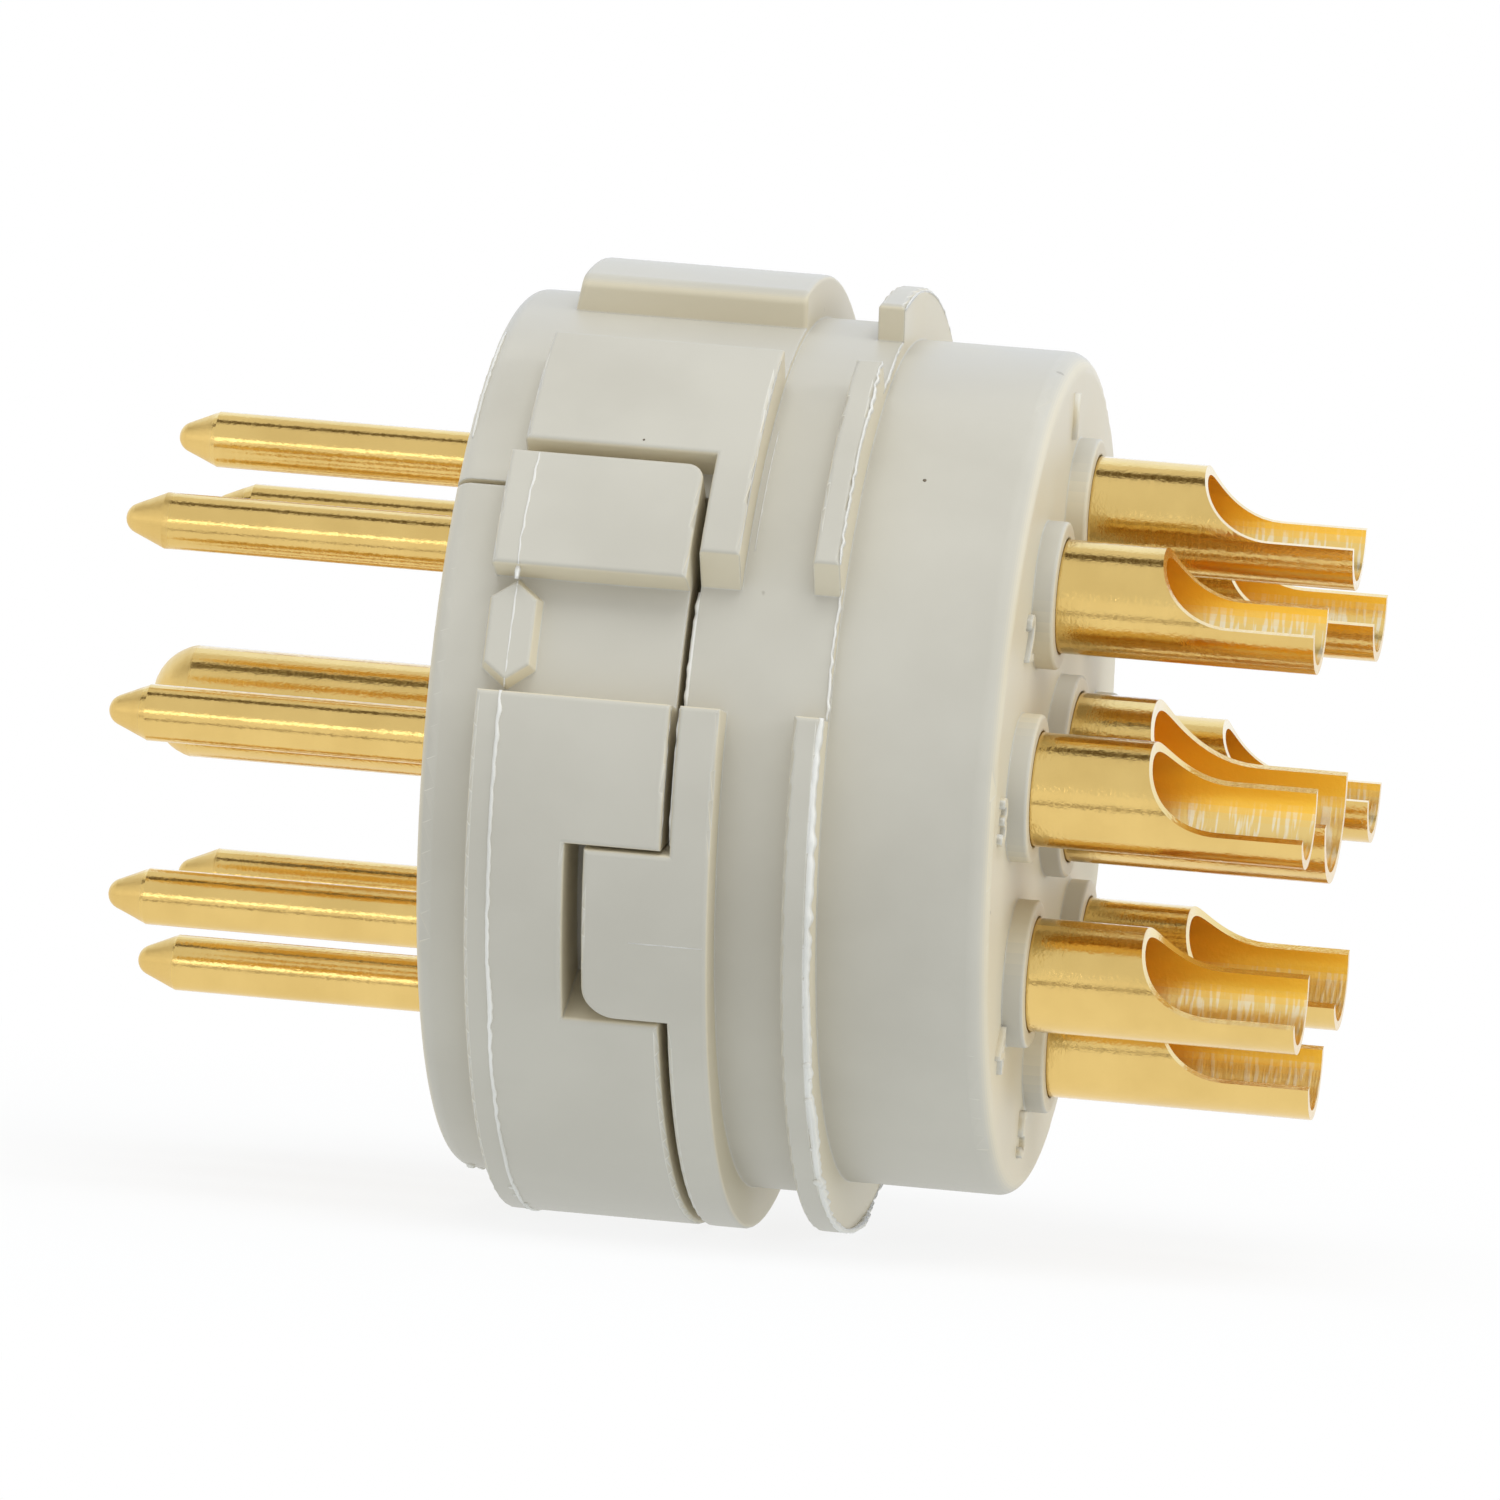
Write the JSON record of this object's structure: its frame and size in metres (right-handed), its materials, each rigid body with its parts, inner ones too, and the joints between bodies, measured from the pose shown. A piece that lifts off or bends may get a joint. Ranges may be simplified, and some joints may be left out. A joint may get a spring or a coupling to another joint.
{
  "type": "circular pin connector insert",
  "caption": "Round two-part plastic insert with a keyway, pins in front and open solder cups behind, for a circular signal connector.",
  "frame": {"origin": "on the insert's axis, in the plane of the mating face, where the centre pin leaves it", "axes": "+X along the axis towards the solder cups, +Z towards the first contact"},
  "size_m": [0.0216, 0.017, 0.017],
  "materials": {
    "insulator_plastic": "moulded, matte, pale warm grey",
    "gold_plating": "gold plated over turned brass, fine turning marks"
  },
  "bodies": {
    "root": {"front_insulator": "insulator_plastic", "rear_insulator": "insulator_plastic", "contact_1": "gold_plating", "contact_2": "gold_plating", "contact_3": "gold_plating", "contact_4": "gold_plating", "contact_5": "gold_plating", "contact_6": "gold_plating", "contact_7": "gold_plating", "contact_8": "gold_plating", "centre_contact": "gold_plating"}
  },
  "joints": []
}
